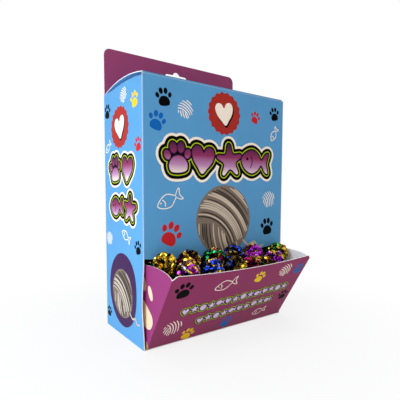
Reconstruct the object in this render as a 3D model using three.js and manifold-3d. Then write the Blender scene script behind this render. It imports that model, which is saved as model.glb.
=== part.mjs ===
// A gravity-feed counter display of printed paperboard: a tall carton with a bowed lid and an open front,
// a header card with a hang slot glued behind it, a folded hopper tray that leans out of the opening,
// and the heap of foil crinkle balls that the tray holds.
// Millimetres, +Z up, front towards -Y, origin at the centre of the carton's footprint on the table.

import * as THREE from 'three';
import { mergeVertices } from 'three/addons/utils/BufferGeometryUtils.js';
import Module from 'manifold-3d';

const wasm = await Module();
wasm.setup();

// Driving dimensions

const cartonWidth = 200;
const cartonDepth = 96;
const cartonHeight = 275;        // table to the front panel's top edge
const board = 0.8;               // thickness of the paperboard
const clearance = 0.3;           // between pieces that touch

const sideDrop = 2.7;            // side panels end this far below the front panel
const sideBulge = 2.2;           // outward bow of the side panels' free front edges
const openingHeight = 94;        // table to the front panel's lower corners
const openingSag = 6;            // the lower edge of the front panel curves down by this
const glueFlapWidth = 17;
const glueFlapEndGap = 5;        // the glue flap stops short of the side panel's ends
const glueFlapTaper = 7;         // and its free edge is shorter by this at each end
const bottomFlapLength = 57.6;
const bottomFlapGap = 4;         // the bottom flaps are narrower than the carton is deep, at each end
const bottomFlapTaper = 8;       // and their tips are narrower again

const lidInset = 1.2;            // lid is narrower than the carton, a side
const lidRise = 6.1;             // bow of the lid above the line between its two folds
const lidFrontStep = 1.6;        // front fold of the lid above the front panel's top edge
const tuckDepth = 16;
const tuckLean = 2.5;            // the tuck flap's tip leans inwards by this
const tuckInset = 1;             // the tuck flap is narrower than the lid, a side
const tuckCorner = 9.6;
const dustFlapLength = 46;
const dustFlapFrontGap = 6;      // the dust flaps stop short of the front panel
const dustFlapBackGap = 3;       // and of the back panel
const dustFlapTaper = 8;         // their tips are narrower by this at each end
const dustFlapRun = 6;           // distance in which a dust flap rises to the lid

const headerRise = 52;           // header's top edge above the front panel's
const headerOverlap = 80;        // glued length of the card below the back panel's top
const headerInset = 0.8;
const headerCorner = 8;
const slotWidth = 33;
const slotHeight = 6.4;
const slotDrop = 17.8;           // header's top edge down to the slot's middle
const slotBump = 10.2;           // diameter of the round notch over the slot

const trayInset = 3;             // tray is narrower than the carton, a side
const trayReach = 49;            // the lip stands this far in front of the carton
const trayHeight = 82;           // rise of the tray's front over that reach
const trayLift = 0.5;            // height of the tray's front fold above the table
const lipExtra = 3.2;            // the lip runs on past the reach, along the slope
const lipDip = 4.6;              // the lip's edge curves down by this in the middle
const lipNotch = 4.4;            // small cut at the lip's corners
const wingHeight = 88.6;
const wingFlat = 12;             // the wings' top edge runs level this far in front of the carton
const wingShoulder = 42;         // and bends down to the lip round a point this far in front
const wingTail = 24;             // the wings go this far into the carton
const wingTailDip = 2.5;         // fall of the top edge over that length
const wingTailFoot = 46;         // height of the tail's lower corner
const rampHeight = 175;
const rampTab = 25;              // glued tab at the ramp's top

const ballCount = 56;
const ballDiameter = 27;
const ballSpread = 0.05;         // how much the balls differ in size, as a share
const ballLumps = 0.045;         // depth of the dents in a ball, as a share
const heapHeight = 103;          // top of the heap where it meets the front panel
const heapSlope = 0.35;          // fall of the heap's top from there to the lip
const mouthPull = 3;             // a place in the mouth is worth this many ball heights
const placeTries = 30;           // places tried for each ball
const mouthStarts = [0.6, 1.4];  // in the mouth a ball starts this far in front of the carton, in ball diameters
const backStarts = [0.7, 1.7];   // and behind the panel this far inside it
const startRise = 2.2;           // it starts this far above the opening, in ball diameters
const heapSeed = 64;             // picks one of the many ways the balls could lie

// Derived places

const halfWidth = cartonWidth / 2;
const front = -cartonDepth / 2;
const back = cartonDepth / 2;
const sideTop = cartonHeight - sideDrop;
const backTop = sideTop - clearance;
const lidBackZ = sideTop + board;
const lidBackY = back - clearance / 3;
const lidFrontZ = cartonHeight + lidFrontStep;
const lidFrontY = front + board + clearance;
const headerTop = cartonHeight + headerRise;
const trayHalf = halfWidth - trayInset;
const trayLean = Math.atan2(trayReach, trayHeight);
const traySlope = Math.hypot(trayReach, trayHeight);
const rampBackY = back - board - clearance;
const rampAngle = Math.atan2(rampHeight - trayLift, rampBackY - front);

// Colours of the board and the foils

const printBlue = { color: 0x4fa3d6, roughness: 0.45, metalness: 0 };
const printPurple = { color: 0x7d3a62, roughness: 0.45, metalness: 0 };
const foils = {
  gold: 0xc9a03a,
  magenta: 0xb02a86,
  violet: 0x5a2f9a,
  blue: 0x2457b8,
  green: 0x2f8f4e,
  silver: 0xb8bcc4,
};

// Solids from geometries and back

function solidOf(geometry) {
  const bare = geometry.clone();
  bare.deleteAttribute('normal');
  bare.deleteAttribute('uv');
  const merged = mergeVertices(bare, 1e-5);
  return new wasm.Manifold(new wasm.Mesh({
    numProp: 3,
    vertProperties: new Float32Array(merged.attributes.position.array),
    triVerts: new Uint32Array(merged.index.array),
  }));
}

function geometryOf(solid) {
  const mesh = solid.getMesh();
  const geometry = new THREE.BufferGeometry();
  geometry.setAttribute('position', new THREE.BufferAttribute(new Float32Array(mesh.vertProperties), 3));
  geometry.setIndex(new THREE.BufferAttribute(new Uint32Array(mesh.triVerts), 1));
  return geometry;
}

const join = (...geometries) => geometryOf(geometries.map(solidOf).reduce((a, b) => a.add(b)));

// Sheets of board

// A flat piece cut to a shape in the plane of the directions u and v, from `start` to `end` along u x v.
function plate(shape, origin, u, v, start, end, curveSegments = 12) {
  const geometry = new THREE.ExtrudeGeometry(shape, { depth: end - start, bevelEnabled: false, curveSegments });
  const normal = new THREE.Vector3().crossVectors(u, v);
  geometry.translate(0, 0, start);
  geometry.applyMatrix4(new THREE.Matrix4().makeBasis(u, v, normal).setPosition(origin));
  return geometry;
}

const origin = new THREE.Vector3();
const xAxis = new THREE.Vector3(1, 0, 0);
const yAxis = new THREE.Vector3(0, 1, 0);
const zAxis = new THREE.Vector3(0, 0, 1);
const upright = (shape, yLow, yHigh, segments) => plate(shape, origin, xAxis, zAxis, -yHigh, -yLow, segments);
const sideways = (shape, xLow, xHigh, segments) => plate(shape, origin, yAxis, zAxis, xLow, xHigh, segments);

function box(xLow, xHigh, yLow, yHigh, zLow, zHigh) {
  const geometry = new THREE.BoxGeometry(xHigh - xLow, yHigh - yLow, zHigh - zLow);
  return geometry.translate((xLow + xHigh) / 2, (yLow + yHigh) / 2, (zLow + zHigh) / 2);
}

// A strip of board seen from its edge: the path is one face, and the other lies to the path's left.
function ribbon(path) {
  const sides = path.slice(1).map((point, i) => point.clone().sub(path[i]).normalize());
  const other = path.map((point, i) => {
    const before = sides[Math.max(i - 1, 0)];
    const after = sides[Math.min(i, sides.length - 1)];
    const middle = before.clone().add(after).normalize();
    const reach = board / middle.dot(after);
    return new THREE.Vector2(point.x - middle.y * reach, point.y + middle.x * reach);
  });
  return new THREE.Shape([...path, ...other.reverse()]);
}

// A curved sheet: two faces given as functions of u and v from 0 to 1, closed round their edges.
function sheet(faceA, faceB, columns, rows) {
  const positions = [];
  const index = [];
  const stride = rows + 1;
  const layer = (columns + 1) * stride;
  for (const face of [faceA, faceB]) {
    for (let i = 0; i <= columns; i++) {
      for (let j = 0; j <= rows; j++) {
        positions.push(...face(i / columns, j / rows).toArray());
      }
    }
  }
  const quad = (a, b, c, d) => index.push(a, b, c, a, c, d);
  for (let i = 0; i < columns; i++) {
    for (let j = 0; j < rows; j++) {
      const a = i * stride + j;
      quad(a, a + stride, a + stride + 1, a + 1);
      quad(a + layer, a + layer + 1, a + layer + stride + 1, a + layer + stride);
    }
  }
  for (let i = 0; i < columns; i++) {
    const low = i * stride;
    const high = low + rows;
    quad(low, low + layer, low + layer + stride, low + stride);
    quad(high, high + stride, high + stride + layer, high + layer);
  }
  for (let j = 0; j < rows; j++) {
    const far = columns * stride + j;
    quad(j, j + 1, j + 1 + layer, j + layer);
    quad(far, far + layer, far + layer + 1, far + 1);
  }
  const geometry = new THREE.BufferGeometry();
  geometry.setAttribute('position', new THREE.Float32BufferAttribute(positions, 3));
  geometry.setIndex(signedVolume(positions, index) > 0 ? index : index.reverse());
  return geometry;
}

function signedVolume(positions, index) {
  const corner = (n) => new THREE.Vector3().fromArray(positions, 3 * index[n]);
  let volume = 0;
  for (let n = 0; n < index.length; n += 3) {
    volume += corner(n).dot(corner(n + 1).cross(corner(n + 2))) / 6;
  }
  return volume;
}

// Carton body

function lidTop(y) {
  const along = (lidBackY - y) / (lidBackY - lidFrontY);
  return lidBackZ + (lidFrontZ - lidBackZ) * along + 4 * lidRise * along * (1 - along);
}

// Outward bow of a side panel: full at the free front edge beside the tray, none at the folds.
function bulge(y, z) {
  const up = z < openingHeight ? Math.sin(Math.PI * z / openingHeight) ** 2 : 0;
  return sideBulge * up * ((back - y) / cartonDepth) ** 2;
}

function sidePanel(side) {
  const lowerRows = 8;
  const rows = lowerRows + 2;
  const height = (v) => {
    const row = Math.round(v * rows);
    const lower = openingHeight * Math.min(row, lowerRows) / lowerRows;
    return lower + (sideTop - openingHeight) * Math.max(row - lowerRows, 0) / (rows - lowerRows);
  };
  const face = (depth) => (u, v) => {
    const y = front + cartonDepth * u;
    const z = height(v);
    return new THREE.Vector3(side * (halfWidth - depth + bulge(y, z)), y, z);
  };
  return sheet(face(0), face(board), 6, rows);
}

// The dust flap turns in from the side panel's top and lies up against the underside of the lid.
function dustFlap(side) {
  const underGap = 1.3 * clearance;
  const face = (depth) => (u, v) => {
    const inwards = u * u * dustFlapLength;
    const yFront = front + dustFlapFrontGap + dustFlapTaper * u;
    const yBack = back - dustFlapBackGap - dustFlapTaper * u;
    const y = THREE.MathUtils.lerp(yFront, yBack, v);
    const rise = THREE.MathUtils.smoothstep(inwards, -dustFlapRun / 3, dustFlapRun);
    const underLid = lidTop(y) - board - underGap;
    const z = THREE.MathUtils.lerp(sideTop, underLid, rise) - depth;
    return new THREE.Vector3(side * (halfWidth - board / 2 - inwards), y, u === 0 ? sideTop - depth : z);
  };
  return sheet(face(0), face(board), 8, 8);
}

function frontPanel() {
  const shape = new THREE.Shape();
  shape.moveTo(-halfWidth, openingHeight);
  shape.quadraticCurveTo(0, openingHeight - 2 * openingSag, halfWidth, openingHeight);
  shape.lineTo(halfWidth, cartonHeight);
  shape.lineTo(-halfWidth, cartonHeight);
  return upright(shape, front, front + board, 16);
}

// Corners of a flap that narrows from its fold towards its tip.
function taperedFlap(foldAt, tipAt, low, high, taper) {
  return [
    new THREE.Vector2(foldAt, low),
    new THREE.Vector2(foldAt, high),
    new THREE.Vector2(tipAt, high - taper),
    new THREE.Vector2(tipAt, low + taper),
  ];
}

function bottomFlap(side) {
  const tip = halfWidth - bottomFlapLength;
  const low = front + bottomFlapGap;
  const corners = taperedFlap(halfWidth - board / 2, tip, low, back - bottomFlapGap, bottomFlapTaper);
  const shape = new THREE.Shape(corners.map((corner) => new THREE.Vector2(side * corner.x, corner.y)));
  return plate(shape, origin, xAxis, yAxis, board / 2, 2 * board);
}

function glueFlap() {
  const tip = back - glueFlapWidth;
  const high = sideTop - glueFlapEndGap;
  const shape = new THREE.Shape(taperedFlap(back - board / 2, tip, glueFlapEndGap, high, glueFlapTaper));
  return sideways(shape, -halfWidth + board / 2, -halfWidth + 2 * board);
}

function cartonBody() {
  const floorFront = front + (board + clearance / Math.cos(rampAngle) - trayLift) / Math.tan(rampAngle);
  return join(
    box(-halfWidth, halfWidth, back - board, back, 0, backTop),
    sidePanel(-1),
    sidePanel(1),
    frontPanel(),
    box(-halfWidth + board / 2, halfWidth - board / 2, floorFront, back - board / 2, 0, board),
    bottomFlap(-1),
    bottomFlap(1),
    glueFlap(),
    dustFlap(-1),
    dustFlap(1),
  );
}

// Lid, folded from the back panel's top: a bowed panel and a front flap that tucks in behind the front panel

function lid() {
  const half = halfWidth - lidInset;
  const steps = 16;
  const arch = [];
  for (let i = 0; i <= steps; i++) {
    const y = lidBackY + (lidFrontY - lidBackY) * i / steps;
    arch.push(new THREE.Vector2(y, lidTop(y)));
  }
  const tip = new THREE.Vector2(lidFrontY + tuckLean, lidFrontZ - tuckDepth);
  const down = tip.clone().sub(arch.at(-1));
  const length = down.length();
  const tuckHalf = half - tuckInset;
  const tuck = new THREE.Shape();
  tuck.moveTo(-tuckHalf, 0);
  tuck.lineTo(-tuckHalf, length - tuckCorner);
  tuck.quadraticCurveTo(-tuckHalf, length, -tuckHalf + tuckCorner, length);
  tuck.lineTo(tuckHalf - tuckCorner, length);
  tuck.quadraticCurveTo(tuckHalf, length, tuckHalf, length - tuckCorner);
  tuck.lineTo(tuckHalf, 0);
  const fold = new THREE.Vector3(0, lidFrontY, lidFrontZ);
  const downwards = new THREE.Vector3(0, down.x, down.y).normalize();
  return join(sideways(ribbon(arch), -half, half), plate(tuck, fold, xAxis, downwards, 0, board, 5));
}

// Header card, glued to the outside of the back panel

function headerCard() {
  const half = halfWidth - headerInset;
  const foot = backTop - headerOverlap;
  const card = new THREE.Shape();
  card.moveTo(-half, foot);
  card.lineTo(half, foot);
  card.lineTo(half, headerTop - headerCorner);
  card.absarc(half - headerCorner, headerTop - headerCorner, headerCorner, 0, Math.PI / 2);
  card.absarc(-half + headerCorner, headerTop - headerCorner, headerCorner, Math.PI / 2, Math.PI);
  const yFront = back + clearance;
  const slotZ = headerTop - slotDrop;
  const end = slotHeight / 2;
  const slot = new THREE.Shape();
  slot.absarc(slotWidth / 2 - end, slotZ, end, -Math.PI / 2, Math.PI / 2);
  slot.absarc(-slotWidth / 2 + end, slotZ, end, Math.PI / 2, 1.5 * Math.PI);
  const bump = new THREE.Shape();
  bump.absarc(0, slotZ + 0.3 * slotHeight, slotBump / 2, 0, 2 * Math.PI);
  const cut = join(upright(slot, yFront - 1, yFront + board + 1), upright(bump, yFront - 1, yFront + board + 1));
  return geometryOf(solidOf(upright(card, yFront, yFront + board, 8)).subtract(solidOf(cut)));
}

// Tray: one folded sheet with a leaning front, a wing at each end and a ramp up to the back wall

const slopeUp = new THREE.Vector3(0, -Math.sin(trayLean), Math.cos(trayLean));
const trayFold = new THREE.Vector3(0, front, trayLift);

function trayFront() {
  const lip = traySlope + lipExtra;
  const cornerX = trayHalf - lipNotch;
  const shape = new THREE.Shape();
  shape.moveTo(-trayHalf, 0);
  shape.lineTo(trayHalf, 0);
  shape.lineTo(trayHalf, lip - lipNotch);
  shape.lineTo(cornerX, lip);
  shape.quadraticCurveTo(0, lip - 2 * lipDip, -cornerX, lip);
  shape.lineTo(-trayHalf, lip - lipNotch);
  return plate(shape, trayFold, xAxis, slopeUp, -board, 0, 14);
}

function trayWing(side) {
  const notch = traySlope + lipExtra - lipNotch;
  const tipY = front + slopeUp.y * notch;
  const tipZ = trayLift + slopeUp.z * notch;
  const shape = new THREE.Shape();
  shape.moveTo(front, trayLift);
  shape.lineTo(front + wingTail, wingTailFoot);
  shape.lineTo(front + wingTail, wingHeight - wingTailDip);
  shape.lineTo(front - wingFlat, wingHeight);
  shape.quadraticCurveTo(front - wingShoulder, wingHeight, tipY, tipZ);
  const outer = side * trayHalf;
  const inner = side * (trayHalf - board);
  return sideways(shape, Math.min(outer, inner), Math.max(outer, inner), 10);
}

function tray() {
  const half = trayHalf - board - 2 * clearance;
  const path = [
    new THREE.Vector2(front, trayLift),
    new THREE.Vector2(rampBackY, rampHeight),
    new THREE.Vector2(rampBackY, rampHeight + rampTab),
  ];
  return join(sideways(ribbon(path), -half, half), trayFront(), trayWing(-1), trayWing(1));
}

// Crinkle balls

function randomFrom(seed) {
  let state = seed;
  return () => {
    state = (state * 1664525 + 1013904223) % 4294967296;
    return state / 4294967296;
  };
}

// A lumpy ball round its own centre: a geometry, its corners as points, and the radius that holds them.
function crumpledBall(radius, random) {
  const bare = new THREE.IcosahedronGeometry(radius, 1);
  bare.deleteAttribute('normal');
  bare.deleteAttribute('uv');
  const geometry = mergeVertices(bare, 1e-3);
  const turn = new THREE.Euler(6 * random(), 6 * random(), 6 * random());
  const position = geometry.attributes.position;
  const points = [];
  for (let i = 0; i < position.count; i++) {
    const point = new THREE.Vector3().fromBufferAttribute(position, i);
    point.multiplyScalar(1 - ballLumps * random()).applyEuler(turn);
    position.setXYZ(i, point.x, point.y, point.z);
    points.push(point);
  }
  return { geometry, points, radius, centre: new THREE.Vector3() };
}

// How far a ball reaches from its centre in a direction.
function reach(ball, direction) {
  let far = 0;
  for (const point of ball.points) far = Math.max(far, point.dot(direction));
  return far;
}

// Flat walls round the heap, each a point on it and the direction away from it.
const wallFaces = [
  [new THREE.Vector3(0, front, trayLift), new THREE.Vector3(0, Math.cos(trayLean), Math.sin(trayLean))],
  [new THREE.Vector3(0, front, trayLift), new THREE.Vector3(0, -Math.sin(rampAngle), Math.cos(rampAngle))],
  [new THREE.Vector3(0, rampBackY, 0), new THREE.Vector3(0, -1, 0)],
  [new THREE.Vector3(-trayHalf, 0, 0), new THREE.Vector3(1, 0, 0)],
  [new THREE.Vector3(trayHalf, 0, 0), new THREE.Vector3(-1, 0, 0)],
].map(([point, away]) => ({ away, towards: away.clone().negate(), start: point.dot(away) + board + clearance }));

// Moves a ball out of the walls, the front panel and the balls already there, and returns the largest move.
function pushOut(ball, placed) {
  const { centre, radius } = ball;
  let worst = 0;
  const keepAway = (away, towards, distance, room) => {
    const depth = room + reach(ball, towards) - distance;
    if (depth <= 0) return;
    worst = Math.max(worst, depth);
    centre.addScaledVector(away, depth);
  };
  for (const { away, towards, start } of wallFaces) {
    const distance = away.dot(centre) - start;
    if (distance < radius) keepAway(away, towards, distance, 0);
  }
  const panelEdge = openingHeight - openingSag * (1 - (centre.x / halfWidth) ** 2);
  const nearY = THREE.MathUtils.clamp(centre.y, front, front + board);
  const fromPanel = new THREE.Vector3(0, centre.y - nearY, centre.z - Math.max(centre.z, panelEdge));
  const panelDistance = fromPanel.length();
  if (panelDistance < radius + clearance) {
    const away = fromPanel.normalize();
    keepAway(away, away.clone().negate(), panelDistance, 1.5 * clearance);
  }
  for (const other of placed) {
    const distance = centre.distanceTo(other.centre);
    if (distance > radius + other.radius + clearance) continue;
    const away = centre.clone().sub(other.centre).normalize();
    keepAway(away, away.clone().negate(), distance, clearance + reach(other, away));
  }
  return worst;
}

// A ball let go at `start` sinks and slides past its neighbours until it rests; false if it jams.
function settle(ball, start, placed) {
  ball.centre.copy(start);
  const sinking = [...Array(170).fill(ballDiameter / 30), ...Array(90).fill(ballDiameter / 135)];
  const restMove = ballDiameter / 6750;
  const jamMove = 5 * restMove;
  for (const fall of sinking) {
    ball.centre.z -= fall;
    pushOut(ball, placed);
    pushOut(ball, placed);
  }
  let worst = 1;
  for (let pass = 0; pass < 200 && worst > restMove; pass++) worst = pushOut(ball, placed);
  return worst < jamMove;
}

// How good a resting place is, lower being better: low places are, those in the tray's mouth more so,
// and those that would stand above the heap's sloping top there are not.
function placeLevel({ centre, radius }) {
  if (centre.y > front) return centre.z;
  const limit = heapHeight + heapSlope * (centre.y - front + radius);
  return centre.z + radius > limit ? centre.z + cartonHeight : centre.z - mouthPull * ballDiameter;
}

// Each ball tries several places, in the tray's mouth and behind the front panel, and keeps the best.
function heap() {
  const random = randomFrom(heapSeed);
  const placed = [];
  const spanX = trayHalf - board - 0.55 * ballDiameter;
  const startZ = openingHeight + startRise * ballDiameter;
  const between = ([near, far]) => ballDiameter * (near + (far - near) * random());
  for (let n = 0; n < ballCount; n++) {
    const ball = crumpledBall(ballDiameter / 2 * (1 - ballSpread * random()), random);
    let best = null;
    let bestLevel = Infinity;
    for (let i = 0; i < placeTries; i++) {
      const y = i % 3 > 0 ? front - between(mouthStarts) : front + between(backStarts);
      const start = new THREE.Vector3(spanX * (2 * random() - 1), y, startZ);
      if (!settle(ball, start, placed) || placeLevel(ball) >= bestLevel) continue;
      best = ball.centre.clone();
      bestLevel = placeLevel(ball);
    }
    ball.centre.copy(best);
    placed.push(ball);
  }
  return placed;
}

// The scene

const display = new THREE.Group();
display.name = 'counter_display';

function addPiece(name, geometry, look) {
  const mesh = new THREE.Mesh(geometry, new THREE.MeshStandardMaterial(look));
  mesh.name = name;
  display.add(mesh);
  return mesh;
}

addPiece('carton_body', cartonBody(), printBlue);
addPiece('lid', lid(), printBlue);
addPiece('header_card', headerCard(), printPurple);
addPiece('tray', tray(), printPurple);

const foilNames = Object.keys(foils);
heap().forEach(({ geometry, centre }, n) => {
  const color = foils[foilNames[n % foilNames.length]];
  const name = `crinkle_ball_${String(n + 1).padStart(2, '0')}`;
  addPiece(name, geometry, { color, roughness: 0.3, metalness: 0.9 }).position.copy(centre);
});

export default display;
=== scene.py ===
# Dresses the counter display: printed board, the print on its faces, crinkled foil balls, light and camera
import math
import random
import bpy
from mathutils import Matrix, Quaternion, Vector
from mathutils.geometry import delaunay_2d_cdt


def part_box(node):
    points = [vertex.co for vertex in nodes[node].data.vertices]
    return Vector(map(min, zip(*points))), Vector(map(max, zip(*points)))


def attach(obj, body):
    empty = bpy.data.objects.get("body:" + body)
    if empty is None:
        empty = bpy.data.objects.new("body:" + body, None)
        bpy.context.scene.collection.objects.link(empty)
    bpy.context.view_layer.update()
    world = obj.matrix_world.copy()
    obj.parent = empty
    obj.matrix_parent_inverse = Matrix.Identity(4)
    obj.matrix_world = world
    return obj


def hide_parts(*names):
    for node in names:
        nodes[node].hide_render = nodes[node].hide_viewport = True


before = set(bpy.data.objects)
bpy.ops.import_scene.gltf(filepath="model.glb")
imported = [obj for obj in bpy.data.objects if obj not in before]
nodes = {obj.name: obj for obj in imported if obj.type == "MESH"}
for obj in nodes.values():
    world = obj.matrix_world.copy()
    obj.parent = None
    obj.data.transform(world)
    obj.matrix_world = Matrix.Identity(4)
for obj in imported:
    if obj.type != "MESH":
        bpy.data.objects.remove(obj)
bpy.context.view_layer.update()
mm = 0.001

# Sizes, read from the frame where it gives them

bodyLow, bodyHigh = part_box("carton_body")
_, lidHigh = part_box("lid")
_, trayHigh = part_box("tray")

carton = {
    "halfWidth": 100 * mm,
    "front": bodyLow.y,
    "back": bodyHigh.y,
    "frontTop": 275 * mm,
    "sideTop": 272.3 * mm,
    "board": 0.8 * mm,
    "openingHeight": 94 * mm,   # corners of the front panel's lower edge
    "openingSag": 6 * mm,       # how far that edge curves down in the middle
    "sideBulge": 2.2 * mm,      # outward bow of the sides' free front edges
    "facetShare": 0.045,        # share of that bow by which its flat facets can stand out of the curve
}

tray = {
    "half": trayHigh.x,
    "reach": 49 * mm,            # how far the lip stands in front of the fold at its foot
    "rise": 82 * mm,             # and how far above it
    "fold": Vector((0, bodyLow.y, 0.5 * mm)),
}
tray["lean"] = math.atan2(tray["reach"], tray["rise"])


# Mesh and node helpers

def addMesh(name, verts, faces, *mats):
    mesh = bpy.data.meshes.new(name)
    mesh.from_pydata([tuple(v) for v in verts], [], faces)
    for mat in mats:
        mesh.materials.append(mat)
    obj = bpy.data.objects.new(name, mesh)
    bpy.context.scene.collection.objects.link(obj)
    return obj


def newMaterial(name):
    mat = bpy.data.materials.new(name)
    mat.use_nodes = True
    nt = mat.node_tree
    nt.nodes.clear()
    out = nt.nodes.new("ShaderNodeOutputMaterial")
    bsdf = nt.nodes.new("ShaderNodeBsdfPrincipled")
    nt.links.new(bsdf.outputs[0], out.inputs[0])
    return mat, nt, bsdf


def addNode(nt, kind, **values):
    node = nt.nodes.new(kind)
    for key, value in values.items():
        if key in node.inputs:
            node.inputs[key].default_value = value
        else:
            setattr(node, key, value)
    return node


def mathNode(nt, operation, a, b=None, c=None):
    node = nt.nodes.new("ShaderNodeMath")
    node.operation = operation
    for i, value in enumerate((a, b, c)):
        if value is None:
            continue
        if isinstance(value, (int, float)):
            node.inputs[i].default_value = value
        else:
            nt.links.new(value, node.inputs[i])
    return node.outputs[0]


def absolute(nt, a):
    return mathNode(nt, "ABSOLUTE", a)


def above(nt, a, b):
    return mathNode(nt, "GREATER_THAN", a, b)


def below(nt, a, b):
    return mathNode(nt, "LESS_THAN", a, b)


def both(nt, *flags):
    result = flags[0]
    for flag in flags[1:]:
        result = mathNode(nt, "MULTIPLY", result, flag)
    return result


def either(nt, *flags):
    result = flags[0]
    for flag in flags[1:]:
        result = mathNode(nt, "MAXIMUM", result, flag)
    return result


def parted(nt, vector):
    # the vector's three components
    node = addNode(nt, "ShaderNodeSeparateXYZ")
    nt.links.new(vector, node.inputs[0])
    return node.outputs


def mixColour(nt, factor, a, b):
    node = addNode(nt, "ShaderNodeMix", data_type="RGBA")
    for socket, value in ((node.inputs[0], factor), (node.inputs[6], a), (node.inputs[7], b)):
        if isinstance(value, (int, float)):
            socket.default_value = value
        elif isinstance(value, tuple):
            socket.default_value = (*value, 1)
        else:
            nt.links.new(value, socket)
    return node.outputs[2]


def ramp(nt, factor, stops):
    node = nt.nodes.new("ShaderNodeValToRGB")
    nt.links.new(factor, node.inputs[0])
    while len(node.color_ramp.elements) < len(stops):
        node.color_ramp.elements.new(0.5)
    for element, (at, colour) in zip(node.color_ramp.elements, stops):
        element.position = at
        element.color = (*colour, 1)
    return node.outputs[0]


def fromSrgb(r, g, b):
    def one(v):
        v /= 255
        return v / 12.92 if v <= 0.04045 else ((v + 0.055) / 1.055) ** 2.4
    return (one(r), one(g), one(b))


# Colours of the print, as they look on the box

ink = {
    "blue": fromSrgb(91, 157, 205),
    "purple": fromSrgb(144, 50, 94),
    "headerPurple": fromSrgb(152, 66, 106),
    "wingPurple": fromSrgb(146, 52, 108),
    # painted shade: warm brown for the shade at the foot of the tray's left fold
    "brownBoard": fromSrgb(188, 156, 106),
    "cream": fromSrgb(255, 240, 222),
    "wingCream": fromSrgb(232, 208, 172),
    "black": fromSrgb(5, 5, 7),
    "red": fromSrgb(200, 34, 38),
    "brick": fromSrgb(172, 44, 36),
    "darkBlue": fromSrgb(14, 98, 178),
    "yellow": fromSrgb(246, 204, 20),
    "lime": fromSrgb(176, 196, 20),
    "plum": fromSrgb(60, 20, 62),
    "oval": fromSrgb(58, 22, 74),
    "taupe": fromSrgb(128, 112, 98),
    "darkTaupe": fromSrgb(66, 56, 50),
    "sand": fromSrgb(206, 190, 170),
    "lilac": fromSrgb(226, 200, 232),
    "mauve": fromSrgb(192, 140, 184),
}

paper = {
    "white": fromSrgb(244, 240, 232),
    "inside": fromSrgb(236, 232, 238),
    "roughness": 0.48,
    "roughSpread": 0.12,         # how much the roughness varies with the board's cloudiness
    "gloss": 0.1,
    "blackGloss": 0.02,
    "clouding": 0.1,             # how much the colour varies with that cloudiness
    "cloudScale": 35.0,
    "fibreScale": 900.0,
    "fibreRelief": 0.05,
    "fibreHeight": 0.2 * mm,
    "foldWidth": 0.8 * mm,
    # paler folds: ink thinned at the creases, and a painted highlight along the edges
    "foldWearAndHighlight": 0.45,
    "topWearAndHighlight": 0.5,              # paler top edge of the front panel, worn ink and painted highlight, as a share of the folds' paling
    "underShadeWidth": 6 * mm,        # painted shade: blue laid on the lid's bare underside along its sides, for the shade and blue bounce light there
    # how much of that blue is laid there, as painted shade
    "underShade": 0.9,
}


def boardGrain(nt, bsdf, coords):
    # fine fibres in relief, and a slow cloudiness in the gloss
    fibre = addNode(nt, "ShaderNodeTexNoise", Scale=paper["fibreScale"], Detail=3.0, Roughness=0.6)
    nt.links.new(coords, fibre.inputs["Vector"])
    cloud = addNode(nt, "ShaderNodeTexNoise", Scale=paper["cloudScale"], Detail=2.0)
    nt.links.new(coords, cloud.inputs["Vector"])
    bump = addNode(nt, "ShaderNodeBump", Strength=paper["fibreRelief"], Distance=paper["fibreHeight"])
    nt.links.new(fibre.outputs[0], bump.inputs["Height"])
    nt.links.new(bump.outputs[0], bsdf.inputs["Normal"])
    smoothest = paper["roughness"] - paper["roughSpread"] / 2
    rough = mathNode(nt, "MULTIPLY_ADD", cloud.outputs[0], paper["roughSpread"], smoothest)
    nt.links.new(rough, bsdf.inputs["Roughness"])
    return cloud.outputs[0], fibre.outputs[0]


def clouded(nt, colour, cloud):
    # the colour, a little darker and lighter with the board's cloudiness
    tone = mathNode(nt, "MULTIPLY_ADD", cloud, paper["clouding"], 1 - paper["clouding"] / 2)
    toned = addNode(nt, "ShaderNodeVectorMath", operation="SCALE")
    if isinstance(colour, tuple):
        toned.inputs[0].default_value = colour
    else:
        nt.links.new(colour, toned.inputs[0])
    nt.links.new(tone, toned.inputs["Scale"])
    return toned.outputs[0]


def foldWearAndHighlight(nt, x, y, z):
    # 1 along the box's four upright folds and less at the front panel's top edge, where the ink has thinned
    # and a highlight is painted
    nearX = above(nt, absolute(nt, x), carton["halfWidth"] - paper["foldWidth"])
    nearY = above(nt, absolute(nt, y), carton["back"] - paper["foldWidth"])
    nearTop = above(nt, z, carton["frontTop"] - paper["foldWidth"])
    onFront = below(nt, y, carton["front"] + carton["board"])
    return either(nt, both(nt, nearX, nearY), both(nt, nearTop, onFront, paper["topWearAndHighlight"]))


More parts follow.
